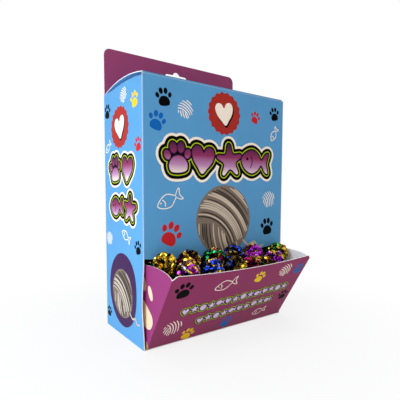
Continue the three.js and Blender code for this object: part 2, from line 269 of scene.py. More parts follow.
def printedBoard(name, colour, outside, wornAndHighlit=False, sideColour=None):
    # outside(nt, x, y, z, nx, ny, nz) gives 1 on the printed faces and 0 on cut edges and bare insides
    mat, nt, bsdf = newMaterial(name)
    coord = addNode(nt, "ShaderNodeTexCoord")
    place = parted(nt, coord.outputs["Object"])
    geometry = addNode(nt, "ShaderNodeNewGeometry")
    turned = addNode(nt, "ShaderNodeVectorTransform", vector_type="NORMAL",
                     convert_from="WORLD", convert_to="OBJECT")
    nt.links.new(geometry.outputs["True Normal"], turned.inputs[0])
    facing = parted(nt, turned.outputs[0])
    cloud, fibre = boardGrain(nt, bsdf, coord.outputs["Object"])
    printed = outside(nt, *place, *facing)
    sideways = above(nt, absolute(nt, facing[0]), edge["square"])
    toned = clouded(nt, mixColour(nt, sideways, colour, sideColour or colour), cloud)
    if wornAndHighlit:
        # the folds pale towards bare board: worn ink and painted highlight
        wearAndHighlight = mathNode(nt, "MULTIPLY", foldWearAndHighlight(nt, *place), paper["foldWearAndHighlight"])
        printed = mathNode(nt, "MULTIPLY", printed, mathNode(nt, "SUBTRACT", 1.0, wearAndHighlight))
    bare = mixColour(nt, fibre, paper["white"], paper["inside"])
    nt.links.new(mixColour(nt, printed, bare, toned), bsdf.inputs["Base Color"])
    bsdf.inputs["Specular IOR Level"].default_value = paper["gloss"]
    return mat


# Where the board is printed, from each point's place and the way its face looks

edge = {
    "hair": 0.1 * mm,            # how far a printed face may lie off its plane
    "square": 0.6,               # how squarely a face of the carton, header or wings looks to its side
    "flapDrop": 1.5 * mm,        # how far under the sides' top edge a dust flap may lie
    "flapInset": 1.5 * mm,       # bare border of the dust flaps at the front and the back
    "flapFold": 0.3 * mm,        # and at the sides
    "flapSlope": 0.02,           # how much of a dust flap's face has to look up
    "lidSquare": 0.5,            # the same for the lid's top and its tuck flap
    "lidUnder": 0.3,             # and, looking down, for its underside
    "lidCut": 0.05 * mm,         # the lid's bare cut edge at its sides
    "traySquare": 0.9,           # how squarely a face looks the way the tray's leaning front does
}


def cartonOutside(nt, x, y, z, nx, ny, nz):
    wide = absolute(nt, x)
    flatX = mathNode(nt, "DIVIDE", x, carton["halfWidth"])
    sag = mathNode(nt, "MULTIPLY_ADD", mathNode(nt, "MULTIPLY", flatX, flatX), carton["openingSag"],
                   carton["openingHeight"] - carton["openingSag"] - edge["hair"])
    outwards = above(nt, mathNode(nt, "MULTIPLY", x, nx), 0.0)
    sides = both(nt, above(nt, wide, carton["halfWidth"] - edge["hair"]),
                 above(nt, absolute(nt, nx), edge["square"]), outwards)
    frontPanel = both(nt, below(nt, y, carton["front"] + edge["hair"]), below(nt, ny, -edge["square"]),
                      above(nt, z, sag))
    backPanel = both(nt, above(nt, y, carton["back"] - edge["hair"]), above(nt, ny, edge["square"]))
    base = both(nt, below(nt, z, edge["hair"]), below(nt, nz, -edge["square"]))
    flaps = both(nt, above(nt, z, carton["sideTop"] - edge["flapDrop"]), above(nt, nz, edge["flapSlope"]),
                 below(nt, wide, carton["halfWidth"] - edge["flapFold"]),
                 below(nt, y, carton["back"] - edge["flapInset"]),
                 above(nt, y, carton["front"] + edge["flapInset"]))
    return either(nt, sides, frontPanel, backPanel, base, flaps)


def lidOutside(nt, x, y, z, nx, ny, nz):
    wide = absolute(nt, x)
    topFace = above(nt, nz, edge["lidSquare"])
    tuckFace = below(nt, ny, -edge["lidSquare"])
    # painted shade: the lid's bare underside near its sides takes the blue, for the shade and blue bounce
    # light over the dust flaps
    underShade = both(nt, below(nt, nz, -edge["lidUnder"]), above(nt, wide, lidHigh.x - paper["underShadeWidth"]))
    underShade = mathNode(nt, "MULTIPLY", underShade, paper["underShade"])
    return both(nt, either(nt, topFace, tuckFace, underShade), below(nt, wide, lidHigh.x - edge["lidCut"]))


def headerOutside(nt, x, y, z, nx, ny, nz):
    return above(nt, absolute(nt, ny), edge["square"])


def trayOutside(nt, x, y, z, nx, ny, nz):
    lean = tray["lean"]
    leaning = mathNode(nt, "ADD", mathNode(nt, "MULTIPLY", ny, -math.cos(lean)),
                       mathNode(nt, "MULTIPLY", nz, -math.sin(lean)))
    front = above(nt, leaning, edge["traySquare"])
    outwards = above(nt, mathNode(nt, "MULTIPLY", x, nx), 0.0)
    wings = both(nt, above(nt, absolute(nt, x), tray["half"] - edge["hair"]),
                 above(nt, absolute(nt, nx), edge["square"]), outwards)
    return either(nt, front, wings)


def dress(nodeName, mat, angle=25):
    obj = nodes[nodeName]
    obj.data.materials.clear()
    obj.data.materials.append(mat)
    for polygon in obj.data.polygons:
        polygon.use_smooth = True
    obj.data.set_sharp_from_angle(angle=math.radians(angle))
    obj.data.update()


dress("carton_body", printedBoard("blueBoard", ink["blue"], cartonOutside, wornAndHighlit=True))
dress("lid", printedBoard("blueLidBoard", ink["blue"], lidOutside))
dress("header_card", printedBoard("purpleBoard", ink["headerPurple"], headerOutside))
dress("tray", printedBoard("purpleTrayBoard", ink["purple"], trayOutside, sideColour=ink["wingPurple"]))
print("board dressed")


# Inks, one material each, with the board's own gloss

def inkMaterial(name, colour):
    mat, nt, bsdf = newMaterial(name + "Ink")
    coord = addNode(nt, "ShaderNodeTexCoord")
    cloud, _ = boardGrain(nt, bsdf, coord.outputs["Object"])
    nt.links.new(clouded(nt, colour, cloud), bsdf.inputs["Base Color"])
    bsdf.inputs["Specular IOR Level"].default_value = paper["blackGloss" if name == "black" else "gloss"]
    return mat


fadeStops = [(0.0, "cream"), (0.3, "mauve"), (0.62, "purple"), (1.0, "plum")]    # from the foot up


def fadeMaterial(name, low, high):
    # dark plum at the top of a title band, fading through purple to cream at its foot
    mat, nt, bsdf = newMaterial(name)
    coord = addNode(nt, "ShaderNodeTexCoord")
    boardGrain(nt, bsdf, coord.outputs["Object"])
    up = parted(nt, coord.outputs["Object"])[2]
    height = mathNode(nt, "DIVIDE", mathNode(nt, "SUBTRACT", up, low), high - low)
    colour = ramp(nt, height, [(at, ink[inkName]) for at, inkName in fadeStops])
    nt.links.new(colour, bsdf.inputs["Base Color"])
    bsdf.inputs["Specular IOR Level"].default_value = paper["gloss"]
    return mat


inks = {name: inkMaterial(name, colour) for name, colour in ink.items()}


# Faces of the box that carry print: each maps (across, up) in metres and a height off the board to a place

def bulge(y, z):
    if z >= carton["openingHeight"]:
        return 0
    up = math.sin(math.pi * z / carton["openingHeight"]) ** 2 + carton["facetShare"]
    return carton["sideBulge"] * up * ((carton["back"] - y) / (carton["back"] - carton["front"])) ** 2


def frontFace(u, v, off):
    return Vector((u, carton["front"] - off, v))


def leftSide(u, v, off):
    # u runs towards the front, as the side reads from the left
    return Vector((-carton["halfWidth"] - bulge(-u, v) - off, -u, v))


def rightSide(u, v, off):
    return Vector((carton["halfWidth"] + bulge(u, v) + off, u, v))


def trayFace(u, v, off):
    lean = tray["lean"]
    up = Vector((0, -math.sin(lean), math.cos(lean)))
    out = Vector((0, -math.cos(lean), -math.sin(lean)))
    return tray["fold"] + Vector((u, 0, 0)) + up * v + out * off


def leftWing(u, v, off):
    return Vector((-tray["half"] - off, -u, v))


def rightWing(u, v, off):
    return Vector((tray["half"] + off, u, v))


# Flat printed shapes, each a thin closed layer that follows the board

layer = {
    "lift": 0.05 * mm,       # lowest ink layer above the board
    "step": 0.03 * mm,       # each further layer on top of it
    "sink": 0.04 * mm,       # how far a layer's underside lies in the board
    "grid": 6,               # spacing of a layer's inner points, in millimetres
    "thinEnd": 0.55,         # width of an open stroke's ends, as a share of its middle's
    "endCurve": 0.4,         # below 1, the stroke reaches its full width soon after its end
    "weld": 1e-4,            # outline points nearer than this are one, in millimetres
    "insideOnly": 1,         # keeps the triangles inside the outlines
}

printed = {}                 # (piece name, ink) to its vertices and faces


def batch(piece, inkName):
    return printed.setdefault((piece, inkName), ([], []))


def insideAny(u, v, outlines):
    for outline in outlines:
        inside = False
        for i, (u1, v1) in enumerate(outline):
            u0, v0 = outline[i - 1]
            if (v0 > v) != (v1 > v) and u < (u1 - u0) * (v - v0) / (v1 - v0) + u0:
                inside = not inside
        if inside:
            return True
    return False


def addFilled(piece, inkName, face, *outlines, level=0):
    # the outlines' union; a grid of points inside lets the layer follow a bowed board
    verts, faces = batch(piece, inkName)
    points, rings = [], []
    for outline in outlines:
        rings.append(list(range(len(points), len(points) + len(outline))))
        points += [Vector((u / mm, v / mm)) for u, v in outline]
    us, vs = [p.x for p in points], [p.y for p in points]
    gap = layer["grid"]
    for i in range(1, int((max(us) - min(us)) / gap)):
        for j in range(1, int((max(vs) - min(vs)) / gap)):
            u, v = min(us) + i * gap, min(vs) + j * gap
            if insideAny(u * mm, v * mm, outlines):
                points.append(Vector((u, v)))
    flat, _, triangles, *_ = delaunay_2d_cdt(points, [], rings, layer["insideOnly"], layer["weld"])
    high = layer["lift"] + level * layer["step"]
    top, bottom = len(verts), len(verts) + len(flat)
    for off in (high, -layer["sink"]):
        verts.extend(face(p.x * mm, p.y * mm, off) for p in flat)
    edges = {}
    for a, b, c in triangles:
        faces.append((top + a, top + b, top + c))
        faces.append((bottom + c, bottom + b, bottom + a))
        for pair in ((a, b), (b, c), (c, a)):
            edges[pair] = True
    for a, b in edges:
        if (b, a) not in edges:
            faces.append((top + b, top + a, bottom + a, bottom + b))


def strokeShare(t):
    # an open stroke's width at t, from 0 at one end to 1 at the other
    return layer["thinEnd"] + (1 - layer["thinEnd"]) * abs(math.sin(math.pi * t)) ** layer["endCurve"]


def addStroke(piece, inkName, face, points, width, level=0, closed=False):
    verts, faces = batch(piece, inkName)
    high = layer["lift"] + level * layer["step"]
    count = len(points)
    rails = []
    for i, (u, v) in enumerate(points):
        before = points[i - 1] if i or closed else points[i]
        after = points[(i + 1) % count] if i < count - 1 or closed else points[i]
        du, dv = after[0] - before[0], after[1] - before[1]
        length = math.hypot(du, dv) or 1
        half = width / 2 * (1 if closed else strokeShare(i / (count - 1)))
        rails.append((-dv / length * half, du / length * half))
    start = len(verts)
    for (u, v), (ru, rv) in zip(points, rails):
        verts.append(face(u + ru, v + rv, high))
        verts.append(face(u - ru, v - rv, high))
        verts.append(face(u - ru, v - rv, -layer["sink"]))
        verts.append(face(u + ru, v + rv, -layer["sink"]))
    for i in range(count if closed else count - 1):
        a = start + 4 * i
        b = start + 4 * ((i + 1) % count)
        for k in range(4):
            m = (k + 1) % 4
            faces.append((a + k, a + m, b + m, b + k))
    if not closed:
        end = start + 4 * (count - 1)
        faces.append((start + 3, start + 2, start + 1, start))
        faces.append((end, end + 1, end + 2, end + 3))


def ellipse(u, v, a, b, turn=0, steps=28):
    c, s = math.cos(math.radians(turn)), math.sin(math.radians(turn))
    points = []
    for i in range(steps):
        t = 2 * math.pi * i / steps
        x, y = a * math.cos(t), b * math.sin(t)
        points.append((u + x * c - y * s, v + x * s + y * c))
    return points


def placed(points, u, v, size, turn):
    c, s = math.cos(math.radians(turn)), math.sin(math.radians(turn))
    return [(u + size * (x * c - y * s), v + size * (x * s + y * c)) for x, y in points]


def curvePoint(p0, p1, p2, p3, t):
    # Catmull-Rom curve from p1 to p2, at t from 0 to 1
    return tuple(
        0.5 * (2 * b + (c - a) * t + (2 * a - 5 * b + 4 * c - d) * t * t + (3 * b - a - 3 * c + d) * t ** 3)
        for a, b, c, d in zip(p0, p1, p2, p3))


def smoothLoop(corners, per=6):
    n = len(corners)
    return [curvePoint(*(corners[(i + k - 1) % n] for k in range(4)), j / per)
            for i in range(n) for j in range(per)]


def smoothLine(corners, per=6):
    padded = [corners[0], *corners, corners[-1]]
    points = [curvePoint(*padded[i:i + 4], j / per) for i in range(len(corners) - 1) for j in range(per)]
    return points + [corners[-1]]


# Small motifs, each one unit high and centred

motif = {
    "yarnSpacing": 0.27,         # between strands, in half heights of the ball
    "yarnWidth": 1.15 * mm,
    "fishWidth": 1.0 * mm,
}

pawPad = smoothLoop([(0, 0.06), (0.2, 0.0), (0.34, -0.2), (0.3, -0.4), (0.12, -0.46),
                     (-0.12, -0.46), (-0.3, -0.4), (-0.34, -0.2), (-0.2, 0.0)])
pawToes = [(-0.38, 0.1, 0.11, 0.145, 22), (-0.145, 0.31, 0.12, 0.165, 8),
           (0.145, 0.31, 0.12, 0.165, -8), (0.38, 0.1, 0.11, 0.145, -22)]
pawShape = [pawPad] + [ellipse(x, y, a, b, lean, 18) for x, y, a, b, lean in pawToes]

fishBody = smoothLoop([(-0.5, 0.0), (-0.3, 0.17), (-0.02, 0.23), (0.2, 0.1), (0.3, 0.0),
                       (0.2, -0.1), (-0.02, -0.23), (-0.3, -0.17)])
fishTail = smoothLine([(0.28, 0.02), (0.42, 0.16), (0.54, 0.2), (0.47, 0.0),
                       (0.54, -0.2), (0.42, -0.16), (0.28, -0.02)])
fishGill = smoothLine([(-0.24, 0.13), (-0.18, 0.0), (-0.24, -0.13)])
fishEye = ellipse(-0.34, 0.05, 0.028, 0.028, 0, 10)

yarn = {
    # each fan's centre, its first strand's radius, and how near to that centre the later fans stay
    "fans": [((-1.15, -0.75), 1.2, 1.12), ((1.25, -0.55), 0.9, 0.84), ((0.1, -1.7), 0.75, 0)],
    "reach": 2.6,                # radius at which a fan's strands have passed the ball
    "edge": 0.97,                # where the strands end, in half heights of the ball
    "steps": 90,
}


def addPaw(piece, face, inkName, u, v, size, turn):
    for shape in pawShape:
        addFilled(piece, inkName, face, placed(shape, u, v, size, turn))


def yarnArcs(spacing):
    # strands in three fans, each round its own point outside the ball and each kept to its own part of it
    runs = []
    for order, ((cx, cy), radius, _) in enumerate(yarn["fans"]):
        while radius < yarn["reach"]:
            run = []
            for i in range(yarn["steps"] + 1):
                t = 2 * math.pi * i / yarn["steps"]
                x, y = cx + radius * math.cos(t), cy + radius * math.sin(t)
                shows = all(math.hypot(x - px, y - py) < near for (px, py), _, near in yarn["fans"][:order])
                if math.hypot(x, y) < yarn["edge"] and shows:
                    run.append((x / 2, y / 2))
                elif run:
                    runs.append(run)
                    run = []
            if run:
                runs.append(run)
            radius += spacing
    return [run for run in runs if len(run) > 2]


def addYarn(piece, face, inkName, u, v, size, turn):
    for run in yarnArcs(motif["yarnSpacing"]):
        addStroke(piece, inkName, face, placed(run, u, v, size, turn), motif["yarnWidth"])


def addFish(piece, face, inkName, u, v, size, turn):
    addStroke(piece, inkName, face, placed(fishBody, u, v, size, turn), motif["fishWidth"], closed=True)
    for line in (fishTail, fishGill):
        addStroke(piece, inkName, face, placed(line, u, v, size, turn), motif["fishWidth"])
    addFilled(piece, inkName, face, placed(fishEye, u, v, size, turn))


def addMotifs(piece, face, motifs):
    draw = {"paw": addPaw, "yarn": addYarn, "fish": addFish}
    for kind, inkName, u, v, size, turn in motifs:
        draw[kind](piece, face, inkName, u * mm, v * mm, size * mm, turn)


# Plump shapes for the title bands, the disc and the tray's rows

def heartShape():
    return smoothLoop([(0, 0.22), (0.14, 0.4), (0.36, 0.42), (0.48, 0.22), (0.4, -0.06), (0.2, -0.3),
                       (0, -0.5), (-0.2, -0.3), (-0.4, -0.06), (-0.48, 0.22), (-0.36, 0.42),
                       (-0.14, 0.4)], 4)


def starShape():
    # each of the five tips is blunted by three corners, and a notch follows it
    corners = []
    for i in range(5):
        for turn, reach in ((-7, 0.52), (0, 0.57), (7, 0.52), (36, 0.27)):
            t = math.radians(90 + 72 * i + turn)
            corners.append((reach * math.cos(t), reach * math.sin(t)))
    return smoothLoop(corners, 3)


def fishShape():
    return smoothLoop([(-0.66, 0.02), (-0.48, 0.28), (-0.14, 0.42), (0.16, 0.3), (0.36, 0.08), (0.56, 0.32),
                       (0.72, 0.36), (0.62, 0.0), (0.72, -0.36), (0.56, -0.32), (0.36, -0.08), (0.16, -0.3),
                       (-0.14, -0.42), (-0.48, -0.28)], 4)


shapes = {
    "heart": [heartShape()],
    "star": [starShape()],
    "fish": [fishShape()],
    "ball": [ellipse(0, 0, 0.5, 0.5, 0, 40)],
    "paw": pawShape,
}
plumpEye = ellipse(-0.38, 0.09, 0.055, 0.055, 0, 14)
plumpGill = smoothLine([(-0.2, 0.24), (-0.12, 0.0), (-0.2, -0.24)])


cornerStep = 0.3             # radians between the points of a rounded corner


def grown(points, by):
    # outline moved outwards by a distance, with round outer corners
    n = len(points)
    area = sum(points[i - 1][0] * points[i][1] - points[i][0] * points[i - 1][1] for i in range(n))
    if area < 0:
        points = points[::-1]
    result = []
    for i, (u, v) in enumerate(points):
        before, after = points[i - 1], points[(i + 1) % n]
        sides = ((before, (u, v)), ((u, v), after))
        first, second = (math.atan2(a[0] - b[0], b[1] - a[1]) for a, b in sides)
        bend = (second - first + math.pi) % (2 * math.pi) - math.pi
        parts = max(1, round(bend / cornerStep)) if bend > 0 else 1
        for k in range(parts + 1) if parts > 1 else (0.5,):
            t = first + bend * k / (parts if parts > 1 else 1)
            result.append((u + by * math.cos(t), v + by * math.sin(t)))
    return result


# Title bands: plump shapes in layers of cream, black, lime and plum under a fading fill

fadeBands = {}               # piece name to the lowest and highest place of its title's fill

title = {
    # lowest first, each ink with how far it reaches past the shapes, in millimetres
    "layers": [("cream", 9.4), ("black", 6.7), ("lime", 3.4), ("black", 2.3), ("plum", 1.0), ("fade", 0.0)],
    "gillWidth": 1.5 * mm,
}


def addTitle(piece, face, row, scale=1.0):
    # row holds (shape, across, up, size, turn), in millimetres
    fadeBands[piece] = (min(v - size / 2 for _, _, v, size, _ in row) * mm,
                        max(v + size / 2 for _, _, v, size, _ in row) * mm)
    for level, (inkName, by) in enumerate(title["layers"]):
        outlines = []
        for kind, u, v, size, turn in row:
            for shape in shapes[kind]:
                outlines.append(grown(placed(shape, u * mm, v * mm, size * mm, turn), by * mm * scale))
        addFilled(piece, inkName, face, *outlines, level=level)
    level = len(title["layers"])
    for kind, u, v, size, turn in row:
        if kind == "fish":
            eye, gill = (placed(line, u * mm, v * mm, size * mm, turn) for line in (plumpEye, plumpGill))
            addFilled(piece, "black", face, eye, level=level)
            addStroke(piece, "plum", face, gill, title["gillWidth"] * scale, level)


# The disc: a heart with a dark shadow on a wavy round

badge = {
    "waves": 18,
    "waveHeight": 0.035,         # as a share of the disc's radius
    "steps": 144,
    "heart": 1.16,               # the heart's height, in radii of the disc
    "shadow": 1.2,
    "shadowShift": (1.2, -1.8),  # in millimetres, across and up
}


def addBadge(piece, face, u, v, radius, turn):
    rim = []
    for i in range(badge["steps"]):
        t = 2 * math.pi * i / badge["steps"]
        reach = radius * mm * (1 + badge["waveHeight"] * math.cos(badge["waves"] * t))
        rim.append((u * mm + reach * math.cos(t), v * mm + reach * math.sin(t)))
    addFilled(piece, "brick", face, rim)
    heart, = shapes["heart"]
    across, up = badge["shadowShift"]
    shadow = placed(heart, (u + across) * mm, (v + up) * mm, badge["shadow"] * radius * mm, turn)
    light = placed(heart, u * mm, v * mm, badge["heart"] * radius * mm, turn)
    addFilled(piece, "black", face, shadow, level=1)
    addFilled(piece, "cream", face, light, level=2)


# A wound ball of thick yarn in muted browns, with its loose end

woundBall = {
    "spacing": 0.062,            # between strands, in radii of the ball
    "turn": 18,
    "tones": ("darkTaupe", "sand", "taupe"),
    "weights": (5, 4, 2),
    "widths": (0.6, 1.0),        # how much the strands' width varies
    "looseEnd": smoothLine([(0.72, -0.62), (0.95, -0.8), (1.2, -0.72), (1.35, -0.9), (1.6, -0.84)]),
}


def addWoundBall(piece, face, u, v, radius, width, level, seed):
    # u, v, radius and width in millimetres
    u, v, radius, width = u * mm, v * mm, radius * mm, width * mm
    addFilled(piece, "taupe", face, ellipse(u, v, radius, radius, 0, 72), level=level)
    rng = random.Random(seed)
    for run in yarnArcs(woundBall["spacing"]):
        points = placed(run, u, v, 2 * radius, woundBall["turn"])
        tone = rng.choices(woundBall["tones"], weights=woundBall["weights"])[0]
        addStroke(piece, tone, face, points, width * rng.uniform(*woundBall["widths"]), level + 1)
    addStroke(piece, "sand", face, placed(woundBall["looseEnd"], u, v, radius, 0), width, level + 1)


# Print on the front panel: motifs as (kind, ink, across, up, size, turn), in millimetres and degrees

front = {
    "motifs": [
        ("paw", "black", -76, 255, 19, 8), ("yarn", "cream", -50, 246, 20, 24),
        ("paw", "darkBlue", -84, 231, 20, -16), ("paw", "red", 51, 249, 15, -18),
        ("paw", "black", 84, 257, 17, 10), ("fish", "cream", 84, 232, 18, 58),
        ("fish", "cream", -70, 152, 30, 26), ("yarn", "cream", 76, 151, 22, -10),
        ("paw", "red", -68, 117, 26, -26), ("paw", "black", 74, 117, 22, 6),
    ],
    "badge": (3, 248, 23, 8),                # across, up, radius, turn
    "title": [("paw", -59.5, 196, 33, 5), ("heart", -27, 195.5, 31, -5), ("star", 11, 195.5, 33, 5),
              ("fish", 50.5, 196, 32, -3)],
    "ball": (4, 128.2, 40, 2.6, 0, 3),       # across, up, radius, strand width, level, seed
}


def printFront():
    addMotifs("front_print", frontFace, front["motifs"])
    addBadge("front_print", frontFace, *front["badge"])
    addTitle("front_title", frontFace, front["title"])
    addWoundBall("front_ball", frontFace, *front["ball"])


# Print on the sides, with a second wound ball in a dark oval

side = {
    "motifs": [
        ("yarn", "cream", 5, 262, 17, 15), ("paw", "yellow", 31, 253, 17, 12),
        ("paw", "black", -38, 252, 17, -10), ("paw", "red", 38, 208, 15, 16),
        ("fish", "cream", -37, 211, 16, 40), ("fish", "cream", 8, 113, 20, -24),
        ("yarn", "cream", -37, 106, 17, -20), ("paw", "black", 36, 104, 15, 14),
        ("paw", "black", -40, 18, 13, -12),
    ],
    "badge": (-5, 230, 22, 8),
    "oval": (-1, 52, 36, 41),                # across, up, half width, half height
    "ball": (-2, 48, 27, 2.0, 1, 9),
    "titles": {
        "upper": [("paw", -18, 185.5, 28, 4), ("heart", 13, 184.5, 26, -6)],
        "lower": [("fish", -15, 143.5, 22, 4), ("star", 18, 142.5, 25, -6)],
    },
    "titleScale": 0.78,                      # thickness of the title's outlines against the front's
}


def printSide(piece, face):
    addMotifs(piece, face, side["motifs"])
    addBadge(piece, face, *side["badge"])
    addFilled(piece, "oval", face, ellipse(*(size * mm for size in side["oval"]), 0, 72))
    addWoundBall(piece, face, *side["ball"])
    for row, titleRow in side["titles"].items():
        addTitle(f"{piece}_{row}_title", face, titleRow, side["titleScale"])


# Print on the tray: small motifs and two rows of hearts, stars, balls and fish

trayPrint = {
    "motifs": [
        ("paw", "black", -79, 79, 21, 6), ("fish", "cream", -26, 76, 27, 16),
        ("paw", "yellow", 22, 78, 16, -14), ("yarn", "cream", 62, 81, 20, 10),
        ("paw", "darkBlue", 86, 80, 16, -10), ("paw", "black", 84, 37, 16, 8),
        ("yarn", "cream", -75, 26, 23, -14), ("paw", "yellow", -51, 10, 17, -16),
        ("paw", "darkBlue", 2, 13, 18, -18), ("fish", "cream", 53, 16, 20, 10),
    ],
    "rows": [(5, 50.5, 158, 2.7), (8, 31.5, 110, 4.5)],    # middle across and up, length, slope
    "kinds": ("heart", "star", "ball", "star", "fish"),
    "layers": [("black", 3.1), ("lime", 2.5), ("plum", 1.6), ("lilac", 0.0)],
    "pitch": 11,
    "size": 8,
    "nod": 12,                   # how many degrees the rows' motifs lean to and fro
    "nodStep": 2.4,              # radians of that swing from one motif to the next
    "bob": 0.08,                 # how far they rise and fall, as a share of their size
    "bobStep": 1.9,
}


def addRow(piece, face, u, v, length, slope):
    pitch, size = trayPrint["pitch"] * mm, trayPrint["size"] * mm
    count = round(length / trayPrint["pitch"])
    for level, (inkName, by) in enumerate(trayPrint["layers"]):
        outlines = []
        for i in range(count):
            across = (i - (count - 1) / 2) * pitch
            bob = trayPrint["bob"] * size * math.sin(trayPrint["bobStep"] * i)
            (x, y), = placed([(across, bob)], u * mm, v * mm, 1, slope)
            shape, = shapes[trayPrint["kinds"][i % len(trayPrint["kinds"])]]
            turn = slope + trayPrint["nod"] * math.sin(trayPrint["nodStep"] * i)
            outlines.append(grown(placed(shape, x, y, size, turn), by * mm))
        addFilled(piece, inkName, face, *outlines, level=level)


def printTray():
    addMotifs("tray_print", trayFace, trayPrint["motifs"])
    for row in trayPrint["rows"]:
        addRow("tray_print", trayFace, *row)


# One big paw print on each wing, its heel running in behind the side panel

wing = {
    "heel": [(35, 52), (43, 50), (52, 44), (59, 38), (60, 31), (56, 25), (50, 23), (42, 25), (35, 28)],
    "toes": [(56, 61, 3.9, 7.6, 24), (43, 68, 3.6, 7.4, 10)],
}


def printWing(piece, face, forwards):
    # forwards is 1 on the face whose across runs to the front, and -1 on the other
    heel = [(forwards * u * mm, v * mm) for u, v in smoothLoop(wing["heel"])]
    addFilled(piece, "wingCream", face, heel)
    for u, v, a, b, turn in wing["toes"]:
        toe = ellipse(forwards * u * mm, v * mm, a * mm, b * mm, forwards * turn)
        addFilled(piece, "wingCream", face, toe)


# Painted shade: brown patches at the foot of the tray's left fold, where shade falls in the gap by the side
# panel

cornerShade = {
    "wing": [(46, 0.6), (46, 10), (48.2, 9), (51, 4.6), (48.6, 0.6)],
    "face": [(-98.4, 0.2), (-98.4, 6.5), (-95, 0.2)],
}


def paintCornerShade():
    onWing, onFace = ([(u * mm, v * mm) for u, v in cornerShade[part]] for part in ("wing", "face"))
    # brown painted where the fold's foot lies in shade
    addFilled("left_wing_print", "brownBoard", leftWing, onWing, level=1)
    addFilled("tray_print", "brownBoard", trayFace, onFace)


printFront()
printSide("left_print", leftSide)
printSide("right_print", rightSide)
printTray()
printWing("left_wing_print", leftWing, 1)
printWing("right_wing_print", rightWing, -1)
paintCornerShade()


def makePrinted():
    for (piece, inkName), (verts, faces) in printed.items():
        fading = inkName == "fade"
        mat = fadeMaterial(piece + "Fade", *fadeBands[piece]) if fading else inks[inkName]
        obj = addMesh(f"{piece}_{inkName}", verts, faces, mat)
        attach(obj, "carton")


makePrinted()
print("print laid on:", len(printed), "inks")


# Foil balls: tangles of crimped metal strips, in two tones each with a touch of a third

foil = {
    "strips": 30,
    "stripWidth": 4.4 * mm,
    "widths": (0.6, 1.3),        # how much that width varies
    "steps": 11,
    "sweep": (1.8, 3.6),         # how far a strip runs round the ball, in radians
    "depth": (0.6, 0.95),        # how far out it lies, as a share of the ball's radius
    "wander": (0.1, 0.3),        # how far it strays from a great circle
    "wanderWave": 5,             # radians of that straying along a strip
    "twist": 0.8,                # how far it twists to and fro, in radians
    "twistWave": 6,
    "jitter": 0.25,              # how far each step's twist strays, in radians
    "pleats": 3,
    "pleatDepth": 1.9 * mm,
    "pleatSpread": (0.5, 1.2),
    "crimp": 2.6 * mm,
    "crimpSpread": (0.4, 1.4),
    "weights": (5, 4, 1),        # how often a strip's side has a ball's first, second and third tone
    "thickness": 0.12 * mm,
    "gap": 0.3 * mm,             # room left inside the ball's own radius
    "roughness": 0.22,
    "facets": 240.0,
    "tilt": 0.15,                # how far the facets tip the light
    "dark": 0.1,                 # painted dark reflections: brightness of the darkest facets against the brightest
    "darkTo": 0.2,               # share of the facets that are darkest
    "brightFrom": 0.6,           # share of them that aren't brightest
    "lipZone": 27 * mm,          # balls further than this in front of the carton have the lip's tones
}

foilInk = {
    "gold": fromSrgb(204, 170, 52),
    "magenta": fromSrgb(168, 30, 116),
    "violet": fromSrgb(180, 52, 204),
    "blue": fromSrgb(34, 76, 214),
    "green": fromSrgb(24, 170, 90),
    "silver": fromSrgb(236, 232, 220),
    # painted reflection: a dark gold tone for foil that mirrors dark surroundings
    "dark": fromSrgb(84, 68, 36),
}


def foilMaterial(name, colour):
    # small facets, each tipped its own way and each with its own brightness, the darker ones being painted
    # dark reflections
    mat, nt, bsdf = newMaterial(name + "Foil")
    coord = addNode(nt, "ShaderNodeTexCoord")
    facet = addNode(nt, "ShaderNodeTexVoronoi", Scale=foil["facets"])
    nt.links.new(coord.outputs["Object"], facet.inputs["Vector"])
    parts = addNode(nt, "ShaderNodeSeparateColor")
    nt.links.new(facet.outputs["Color"], parts.inputs[0])
    # painted reflections: facets darkened in the colour, for dark surroundings mirrored in the foil
    stops = [(foil["darkTo"], tuple(foil["dark"] * c for c in colour)), (foil["brightFrom"], colour)]
    nt.links.new(ramp(nt, parts.outputs[0], stops), bsdf.inputs["Base Color"])
    centred = addNode(nt, "ShaderNodeVectorMath", operation="SUBTRACT")
    nt.links.new(facet.outputs["Color"], centred.inputs[0])
    centred.inputs[1].default_value = (0.5, 0.5, 0.5)
    tilt = addNode(nt, "ShaderNodeVectorMath", operation="SCALE")
    nt.links.new(centred.outputs[0], tilt.inputs[0])
    tilt.inputs["Scale"].default_value = foil["tilt"]
    geometry = addNode(nt, "ShaderNodeNewGeometry")
    tilted = addNode(nt, "ShaderNodeVectorMath", operation="ADD")
    nt.links.new(geometry.outputs["Normal"], tilted.inputs[0])
    nt.links.new(tilt.outputs[0], tilted.inputs[1])
    normal = addNode(nt, "ShaderNodeVectorMath", operation="NORMALIZE")
    nt.links.new(tilted.outputs[0], normal.inputs[0])
    nt.links.new(normal.outputs[0], bsdf.inputs["Normal"])
    bsdf.inputs["Metallic"].default_value = 1.0
    bsdf.inputs["Roughness"].default_value = foil["roughness"]
    return mat


foils = {name: foilMaterial(name, colour) for name, colour in foilInk.items()}


def stripCourse(rng):
    # a strip's way round the ball
    return {
        "axis": Vector((rng.gauss(0, 1), rng.gauss(0, 1), rng.gauss(0, 1))).normalized(),
        "start": rng.uniform(0, 2 * math.pi),
        "sweep": rng.uniform(*foil["sweep"]),
        "depth": rng.uniform(*foil["depth"]),
        "wander": rng.uniform(*foil["wander"]),
        "width": foil["stripWidth"] * rng.uniform(*foil["widths"]),
    }


